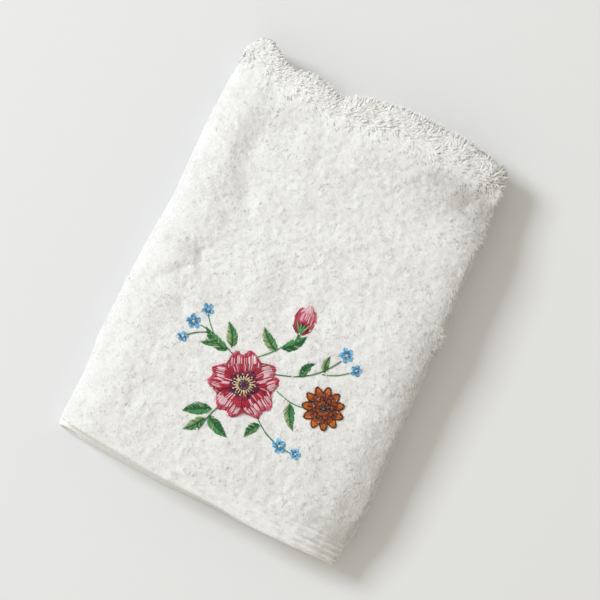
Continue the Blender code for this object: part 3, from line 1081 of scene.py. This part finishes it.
def build_hem_stitches(look):
    """A row of straight machine stitches along each hem."""
    step = HEM_STITCH + HEM_STITCH_GAP
    section = np.arange(HEM_STITCH_ROOM, CLOTH_SIDE - HEM_STITCH - HEM_STITCH_ROOM, step)
    lines = (HEM_STITCH_FROM_EDGE, STRIP_LENGTH - HEM_STITCH_FROM_EDGE)
    start = np.stack([np.tile(section, 2), np.repeat(lines, len(section))], axis=-1)
    ends = (start, start + (HEM_STITCH, 0))
    lift, shades = np.full(len(start), HEM_STITCH_HEIGHT), np.full(len(start), 0.5)
    material = cotton_thread_material(look)
    sew("hem_stitches", ends, lift, HEM_THREAD, shades, YARN_SOFTENING, material)


# ---- The pile ----

# How deep the yarns are rooted, how far apart, and how far off their places, as a share of that spacing
ROOT_DEPTH = 0.20 * MM
PILE_SPACING = 0.52 * MM
PILE_SCATTER = 0.42
PILE_FROM_HEM = 0.20 * MM
# The underside's pile is thin, but for these margins beside the folds and the hem
UNDERSIDE_KEPT = 0.14
FOLD_MARGIN = 3 * MM
HEM_MARGIN = 4 * MM
# The share of the yarns under the stitches that show between the threads
STITCHED_KEPT = 0.07
BARE_EDGE = 0.35 * MM
# How much of the way to its rib a nub of the band stands, and over how far the band fades into the pile
LINED_UP = 0.4
BAND_FADE = 4 * MM
# Where the end fold starts to turn down from the top
SHOULDER_AT = UPPER_HALF_AT - (1 - END_FOLD_ROUND) * (HALVES_GAP_AT_FOLD / 2 + OUTER_LEVEL)
# Tufts of longer yarns, and how far round each one reaches
Tuft = namedtuple("Tuft", "x y reach")
TUFTS = in_mm(
    Tuft,
    (24.5, 71.5, 3.0), (33.0, 76.5, 3.5), (49.0, 74.0, 4.0), (43.0, 62.0, 2.6), (51.0, 59.0, 2.8),
    (57.3, 13.0, 3.4), (57.2, 7.0, 4.5), (56.5, 9.5, 4.0), (56.0, 52.0, 4.0), (34.0, 20.0, 1.8),
)
PILE_OVERHANG = 2.6 * MM
# The top's pile is cut into pieces of this length from the hem
PILE_PIECE = 55 * MM
YARN_RINGS = ((0.5, 1.0),)
# Sizes of the pile's pebbles, of the patches of one length or of one direction, and of its clumps
PEBBLE_SIZE = 1.8 * MM
PEBBLE_RISE = 0.16 * MM
UNEVEN_PATCH = 5.5 * MM
WIDE_PATCH = 4.2 * MM
SMALL_PATCH = 1.7 * MM
CLUMP = 2.3 * MM
FLOOR_ROOM = 0.25 * MM


def plant(marked, seed):
    """Places of the yarns on the cloth's outside, as distances along its section and along the strip."""
    chance = np.random.default_rng(seed)
    # The turns are longer on their outside than along the cloth's middle, so they take more yarns
    marks = np.array([SMALL_TURN_AT, MIDDLE_THIRD_AT, LARGE_TURN_AT, OUTER_THIRD_AT])
    lengths = np.diff(marks) + (math.pi * GOOD_FACE, 0, math.pi * GOOD_FACE)
    outside = SMALL_TURN_AT + np.concatenate([[0], np.cumsum(lengths)])
    marks, outside = (
        np.concatenate([[line[0] - PILE_OVERHANG], line, [line[-1] + PILE_OVERHANG]])
        for line in (marks, outside)
    )
    section, strip = np.meshgrid(
        np.arange(outside[0], outside[-1], PILE_SPACING),
        np.arange(PILE_FROM_HEM, STRIP_LENGTH - PILE_FROM_HEM, PILE_SPACING),
    )
    section[1::2] += PILE_SPACING / 2
    section, strip = (
        line.ravel() + chance.uniform(-PILE_SCATTER, PILE_SCATTER, line.size) * PILE_SPACING
        for line in (section, strip)
    )
    section, strip = np.interp(section, outside, marks), np.clip(strip, 0.0, STRIP_LENGTH)
    inside = (section > MIDDLE_THIRD_AT + FOLD_MARGIN) & (section < LARGE_TURN_AT - FOLD_MARGIN)
    underside = inside & (strip < HALF_LENGTH - FOLD_MARGIN) & (strip > HEM_MARGIN)
    kept = ~underside | (chance.random(section.size) < UNDERSIDE_KEPT)
    kept &= ~is_stitched(marked, section, strip) | (chance.random(section.size) < STITCHED_KEPT)
    section, strip = section[kept], strip[kept]
    # The short nubs of the bands stand in rows on the ribs
    from_hem = hem_distance(strip)
    count = rib_count(section, from_hem)
    lined_up = LINED_UP * rib_strength(section) * (1 - fade_in(from_hem, BAND_WIDTH * 0.6, BAND_FADE))
    shift = (np.round(count) - count) * RIB_PITCH * lined_up
    strip = strip + np.where(strip < HALF_LENGTH, shift, -shift)
    # The hem's own edge is bare
    kept = hem_distance(strip) > BARE_EDGE
    return section[kept], strip[kept]


def pile_ground(section, strip):
    """The surface that the yarns are rooted in, which is a little pebbly."""
    pebbles = PEBBLE_RISE * soft_noise(section, strip, PEBBLE_SIZE, 13)
    return fold_cloth(section, strip, GOOD_FACE - ROOT_DEPTH + pebbles)


def pile_regions(strip, root, normal):
    """How strongly each yarn belongs to each region of the pile, from 0 to 1. The fringe is the end fold's
    face and the overhang, where the top's yarns reach over that face."""
    x, y = root[:, 0], root[:, 1]
    # The pile hides the band at the left and leaves it clear at the right
    clear = BAND_WIDTH * (blend(0.08, 0.7, (x + 30 * MM) / (60 * MM)) + 0.14 * soft_noise(x, y, 9 * MM, 22))
    band = 1 - fade_in(hem_distance(strip), clear, BAND_FADE)
    end_face = fade_in(strip, HALF_LENGTH, 6 * MM) * fade_out(strip, UPPER_HALF_AT + 7 * MM, 10 * MM)
    overhang = fade_in(strip, SHOULDER_AT - 4 * MM, 2.5 * MM) * fade_out(strip, SHOULDER_AT + 6 * MM, 6 * MM)
    fringe = np.maximum(end_face, overhang)
    flank = (1 - ease(normal[:, 2] * 1.6)) * (1 - end_face)
    # The pile is shaggy beyond the spray at the right, along the end fold, and less so lower at the right
    shaggy = hump(x - 46 * MM, 14 * MM) * fade_in(y, 20 * MM, 35 * MM)
    shaggy = np.maximum(shaggy, fade_in(y, 62 * MM, 12 * MM) * fade_in(x, -50 * MM, 40 * MM))
    shaggy = np.maximum(shaggy, 0.45 * hump(x - 42 * MM, 14 * MM) * fade_in(y, -80 * MM, 30 * MM))
    shaggy = shaggy * (1 - flank)
    roll = fade_out(x, -44 * MM, 10 * MM) * ease(normal[:, 2] / 0.5)
    tuft = sum(hump(np.hypot(x - tuft.x, y - tuft.y), tuft.reach) for tuft in TUFTS) * (normal[:, 2] > -0.2)
    under = ease((-0.5 - normal[:, 2]) / 0.3)
    dented = fringe * np.clip(np.abs(normal[:, 0]) * 2.5, 0, 1) * (np.abs(x) < 50 * MM)
    return band, shaggy, end_face, overhang, fringe, flank, roll, tuft, under, dented


def grow(section, strip, marked, look, seed):
    """Points of every yarn planted at the given places, with its shade, shading normal and softening."""
    chance = np.random.default_rng(seed)
    count = section.size
    shape = yarn_shape(3, YARN_RINGS)
    root = pile_ground(section, strip)
    normal, forward, side = cloth_directions(pile_ground, section, strip)
    x, y = root[:, 0], root[:, 1]
    regions = pile_regions(strip, root, normal)
    band, shaggy, end_face, overhang, fringe, flank, roll, tuft, under, dented = regions
    uneven = soft_noise(x * 1.2, y, UNEVEN_PATCH, 21)

    # In the dents of the end fold the yarns are shorter and stand up more
    length = look.pile_length * (chance.uniform(0.75, 1.2, count) + 0.15 * uneven + 0.45 * shaggy)
    length = length * (1 - 0.55 * band) * (1 + 0.5 * fringe + 0.5 * tuft + 0.15 * roll) * (1 - 0.35 * dented)
    rise = look.pile_rise * (chance.uniform(0.7, 1.2, count) + 0.2 * uneven + 0.05 * shaggy)
    rise = rise * (1 - 0.3 * band) * (1 - 0.25 * roll) * (1 + tuft) * (1 - 0.7 * under) * (1 + 1.2 * dented)
    # Yarns that would lie over a stitch are held short by it
    for reach, left in ((0.9, 0.72), (0.6, 0.6)):
        length = np.where(is_stitched(marked, section, strip + reach * length), left * length, length)
    width = look.yarn_width * chance.uniform(0.85, 1.15, count)
    width = width * (1 - 0.35 * band + 0.35 * roll + 0.1 * fringe)
    hook = chance.uniform(0.1, 0.75, count)
    spread = chance.normal(0, 20, count) * (1 + 0.5 * shaggy + 0.7 * band)
    spread += 24 * soft_noise(x, y, WIDE_PATCH, 31) + 22 * soft_noise(x, y, SMALL_PATCH, 32)
    lateral = np.round(section / CLUMP + 0.3 * soft_noise(section, strip, 3 * MM, 33)) - section / CLUMP
    angle = np.radians(spread) * (1 - 0.4 * roll) + lateral * (0.35 + 0.4 * shaggy)
    angle = angle + 0.35 * shaggy + 0.7 * tuft + 1.1 * end_face * (1 - overhang) + 2.3 * overhang
    curl = chance.normal(0, 0.12, count) + lateral * 0.15
    # In the dents the yarns also lie over the cloth that rises in front of them
    tip = pile_ground(section - length * np.sin(angle), strip + length * np.cos(angle))
    lifted = fringe * np.maximum(((tip - root) * normal).sum(axis=1), 0)

    comb = forward * np.cos(angle)[:, None] + side * np.sin(angle)[:, None]
    thickness = width * (1 - 0.5 * fringe)
    values = (length, rise, width, thickness, hook, curl, lifted)
    length, rise, width, thickness, hook, curl, lifted = (value[:, None] for value in values)
    share, offset_y, offset_z = shape.points.T
    slope = rise * (2 - 2 * share - 3 * hook * share**2)
    turned = offset_z * thickness / np.hypot(length, slope)
    along = length * share - slope * turned
    out = rise * (share * (2 - share) - hook * share**3) + length * turned + lifted * share**2
    sideways = offset_y * width + curl * length * share**2
    places = root[:, None] + comb[:, None] * along[..., None] + normal[:, None] * out[..., None]
    places = places + np.cross(normal, comb)[:, None] * sideways[..., None]
    height = places[..., 2]
    pressed = FLOOR_ROOM * np.exp(np.minimum(height / FLOOR_ROOM - 1, 0))
    places[..., 2] = np.where(height < FLOOR_ROOM, pressed, height)

    # Painted shade: each yarn is painted between the lit and the shaded cotton, in soft patches and one by
    # one, as the yarns catch the light differently
    shade = np.clip(0.6 + 0.25 * uneven + chance.normal(0, 0.26, count), 0, 1)
    # The long yarns round the end fold stand out level, so their upper sides show
    upward = 1.6 * fringe + 0.6 * flank + 1.3 * roll
    # The yarns by the right corners are combed away from the light, and those by the end fold towards it
    combed = 0.34 * hump(x - 56 * MM, 24 * MM) * hump(y + 85 * MM, 40 * MM)
    combed += 0.62 * hump(x - 38 * MM, 14 * MM) * hump(y - 64 * MM, 11 * MM)
    combed -= 0.15 * fade_in(y, 60 * MM, 16 * MM) * fade_out(x, 30 * MM, 20 * MM) * (1 - fringe)
    combed -= 0.5 * fringe
    shown = unit(normal + upward[:, None] * (0, 0, 1) + combed[:, None] * (1, 0, 0))
    # Low on the turns too, the upper sides of the yarns show
    shown[:, 2] = np.where(normal[:, 2] > -0.9, np.maximum(shown[:, 2], -0.3), shown[:, 2])
    softening = YARN_SOFTENING - 0.12 * flank - 0.14 * fringe
    return shape, places, shade, shown, softening


def build_pile(look):
    """The pile's pieces, each one mesh of many yarns."""
    marked = stitched_cells(spray_stitches())
    section, strip = plant(marked, 3)
    shape, places, *looks = grow(section, strip, marked, look, 4)
    top = (strip > UPPER_HALF_AT - HEM_MARGIN) & (section > MIDDLE_THIRD_AT) & (section < LARGE_TURN_AT)
    from_hem = STRIP_LENGTH - strip
    zones = {
        "pile_top_by_hem": top & (from_hem < PILE_PIECE),
        "pile_top_middle": top & (from_hem >= PILE_PIECE) & (from_hem < 2 * PILE_PIECE),
        "pile_top_by_fold": top & (from_hem >= 2 * PILE_PIECE),
        "pile_sides_upper": ~top & (strip >= HALF_LENGTH),
        "pile_sides_lower": ~top & (strip < HALF_LENGTH),
    }
    material = terry_yarn_material(look)
    for name, zone in zones.items():
        mesh = copies_mesh(name, shape, places[zone], *(values[zone] for values in looks))
        show(name, mesh, material)


# ---- Stage, light and camera ----

FLOOR_SIDE = 9.0
# The camera looks at this place on the cloth's top, from near overhead and a little towards the hems
AIM = Vector((0.0024, -0.0006, 0.0170))
CAMERA_DISTANCE = 1.0
CAMERA_ELEVATION = 80.5
CAMERA_SIDE = Vector((-0.33, -0.94, 0.0))
# The cloth lies turned in the frame: how far its length leans to the right of upright
CLOTH_TURN = 25.3
SEEN_WIDTH = 0.224
SENSOR_WIDTH = 36.0
# The key light is a large soft box beside the cloth's left roll
KEY_FROM = Vector((-0.996, 0.09, 0.0))
KEY_ELEVATION = 34.0
KEY_DISTANCE = 2.4


def direction(level, elevation):
    """The unit vector over a level direction at an elevation in degrees."""
    angle = math.radians(elevation)
    return level.normalized() * math.cos(angle) + Vector((0, 0, math.sin(angle)))


def build_floor(look):
    """A plain pale floor."""
    bm = bmesh.new()
    bmesh.ops.create_grid(bm, x_segments=1, y_segments=1, size=FLOOR_SIDE / 2)
    paint = {"Base Color": tuple(look.floor_colour), "Roughness": 1.0, "Specular IOR Level": 0.0}
    material = new_material("matt_painted_board", ("surface", "BsdfPrincipled", {}, paint, {}))
    floor = place_piece("studio_floor", to_mesh(bm, "studio_floor"), material)


def build_light(look):
    """Even soft light from the room and one large soft box."""
    room = {"Color": tuple(look.room_colour), "Strength": look.room_strength}
    glow = ("glow", "Background", {}, room, {})
    end = ("end", "OutputWorld", {}, {}, {"Surface": ("glow", "Background")})
    bpy.context.scene.world = wire(bpy.data.worlds.new("pale_studio"), (glow, end))
    lamp = bpy.data.lights.new("soft_box", "AREA")
    lamp.shape = "SQUARE"
    lamp.size = look.key_size
    lamp.energy = look.key_power
    lamp.color = tuple(look.key_colour)[:3]
    key = bpy.data.objects.new("soft_box", lamp)
    back = direction(KEY_FROM, KEY_ELEVATION)
    key.location = back * KEY_DISTANCE
    key.rotation_euler = back.to_track_quat("Z", "Y").to_euler()
    bpy.context.scene.collection.objects.link(key)


def build_camera():
    """A long lens nearly overhead."""
    view = bpy.data.cameras.new("camera")
    view.sensor_width = SENSOR_WIDTH
    view.lens = SENSOR_WIDTH * CAMERA_DISTANCE / SEEN_WIDTH
    camera = bpy.data.objects.new("camera", view)
    back = direction(CAMERA_SIDE, CAMERA_ELEVATION)
    turn = math.radians(CLOTH_TURN)
    upright = Vector((-math.sin(turn), math.cos(turn), 0.0))
    right = upright.cross(back).normalized()
    axes = Matrix((right, back.cross(right), back)).transposed()
    camera.matrix_world = Matrix.Translation(AIM + back * CAMERA_DISTANCE) @ axes.to_4x4()
    bpy.context.scene.collection.objects.link(camera)
    bpy.context.scene.camera = camera
    bpy.context.scene.view_settings.view_transform = "Standard"


# ---- Settings, operators and panel ----


def colour_setting(name, description, hex_colour):
    """A colour that a user can change."""
    return FloatVectorProperty(
        name=name, description=description, subtype="COLOR", size=4, min=0.0, max=1.0,
        default=linear(hex_colour),
    )


def size_setting(name, description, default, least, most):
    """A size in metres that a user can change."""
    return FloatProperty(
        name=name, description=description, subtype="DISTANCE", unit="LENGTH", default=default, min=least,
        max=most,
    )


class WashclothTerry(PropertyGroup):
    """Colours and sizes of the terry."""

    # The lit and the shaded cotton: the yarns, the ground's hollows and the hem thread's twist are painted
    # between them, as painted light and shade
    colour: colour_setting("Cotton", "Colour of the yarn in the light", "FDFCF9")
    shaded_colour: colour_setting("Shaded cotton", "Colour of the yarns that look darker", "EDEBE5")
    bloom: FloatProperty(
        name="Bloom", description="How much the loose fibres glow at the edges", subtype="FACTOR",
        default=0.10, min=0.0, max=1.0,
    )
    pile_length: size_setting("Pile length", "Length of a yarn as it lies", 2.0 * MM, 0.5 * MM, 6.0 * MM)
    pile_rise: size_setting("Pile rise", "How far a yarn stands up", 0.38 * MM, 0.2 * MM, 3.0 * MM)
    yarn_width: size_setting("Yarn width", "Width of one yarn of the pile", 0.95 * MM, 0.1 * MM, 1.5 * MM)


class WashclothThread(PropertyGroup):
    """Colours and size of the embroidery thread."""

    thread_width: size_setting("Thread width", "Width of one stitch's thread", 0.40 * MM, 0.1 * MM, 1.0 * MM)
    crimson: colour_setting("Crimson", "Middle of the rose's petals", "B8243F")
    plum: colour_setting("Plum", "Heart of the rose and bases of its petals", "5E1F42")
    rose: colour_setting("Rose", "Outer part of the rose's petals", "D8627C")
    blush: colour_setting("Blush", "Rims of the rose's petals", "F3C9CF")
    orange: colour_setting("Orange", "Tips of the marigold's petals", "DE7A24")
    rust: colour_setting("Rust", "Bases of the marigold's petals", "A94A18")
    ink: colour_setting("Ink", "Outlines and heart of the marigold", "2A2425")
    leaf: colour_setting("Leaf", "Bright side of the leaves", "4E9A56")
    deep_leaf: colour_setting("Deep leaf", "Dark side of the leaves, and stems", "256B3B")
    sage: colour_setting("Sage", "Pale side of the leaves", "9DAF79")
    sky: colour_setting("Sky", "Tips of the blue petals", "8CCBEC")
    deep_blue: colour_setting("Deep blue", "Bases of the blue petals", "3F87B8")
    straw: colour_setting("Straw", "Stamens and small hearts", "EFD9A0")


class WashclothStage(PropertyGroup):
    """Floor and light."""

    floor_colour: colour_setting("Floor", "Colour of the floor", "EEEEED")
    room_colour: colour_setting("Room light", "Colour of the even light from the room", "FFFAF1")
    room_strength: FloatProperty(
        name="Room strength", description="Strength of the even light", default=0.57, min=0.0, max=10.0
    )
    key_colour: colour_setting("Soft box colour", "Colour of the soft box", "EFF6FF")
    key_power: FloatProperty(
        name="Soft box power", description="Power of the soft box", default=42.3, min=0.0, max=1000.0,
        unit="POWER",
    )
    key_size: size_setting("Soft box side", "Side of the square soft box", 0.74, 0.01, 5.0)


class WASHCLOTH_OT_stage(Operator):
    """Make the floor, the light and the camera"""

    bl_idname = "washcloth.stage"
    bl_label = "Stage"

    def execute(self, context):
        look = context.scene.washcloth_stage
        build_floor(look)
        build_light(look)
        build_camera()
        return {"FINISHED"}


class WASHCLOTH_OT_embroidery(Operator):
    """Stitch the flower spray"""

    bl_idname = "washcloth.embroidery"
    bl_label = "Embroidery"

    def execute(self, context):
        build_embroidery(context.scene.washcloth_thread)
        return {"FINISHED"}


class WASHCLOTH_OT_hem_stitches(Operator):
    """Stitch the two hems"""

    bl_idname = "washcloth.hem_stitches"
    bl_label = "Hem stitches"

    def execute(self, context):
        build_hem_stitches(context.scene.washcloth_terry)
        return {"FINISHED"}


class WASHCLOTH_OT_pile(Operator):
    """Plant the pile round the embroidery"""

    bl_idname = "washcloth.pile"
    bl_label = "Pile"

    def execute(self, context):
        build_pile(context.scene.washcloth_terry)
        return {"FINISHED"}


class WASHCLOTH_OT_cloth(Operator):
    """Make the folded ground weave, on the same body as the pile and the stitches"""

    bl_idname = "washcloth.cloth"
    bl_label = "Folded cloth"

    def execute(self, context):
        sheet = build_sheet(context.scene.washcloth_terry)
        return {"FINISHED"}


OPERATORS = (
    WASHCLOTH_OT_stage,
    WASHCLOTH_OT_embroidery,
    WASHCLOTH_OT_hem_stitches,
    WASHCLOTH_OT_pile,
    WASHCLOTH_OT_cloth,
)


class WASHCLOTH_PT_panel(Panel):
    """Buttons for the washcloth's pieces"""

    bl_label = "Washcloth"
    bl_idname = "WASHCLOTH_PT_panel"
    bl_space_type = "VIEW_3D"
    bl_region_type = "UI"
    bl_category = "Washcloth"

    def draw(self, context):
        for operator in OPERATORS:
            self.layout.operator(operator.bl_idname)


SETTINGS = {
    "washcloth_terry": WashclothTerry,
    "washcloth_thread": WashclothThread,
    "washcloth_stage": WashclothStage,
}
CLASSES = (*SETTINGS.values(), *OPERATORS, WASHCLOTH_PT_panel)


def register():
    for item in CLASSES:
        bpy.utils.register_class(item)
    for name, settings in SETTINGS.items():
        setattr(bpy.types.Scene, name, PointerProperty(type=settings))


def unregister():
    for name in SETTINGS:
        delattr(bpy.types.Scene, name)
    for item in reversed(CLASSES):
        bpy.utils.unregister_class(item)


def main():
    register()
    bpy.ops.washcloth.stage()
    bpy.ops.washcloth.embroidery()
    bpy.ops.washcloth.hem_stitches()
    bpy.ops.washcloth.pile()
    bpy.ops.washcloth.cloth()


if __name__ == "__main__":
    main()
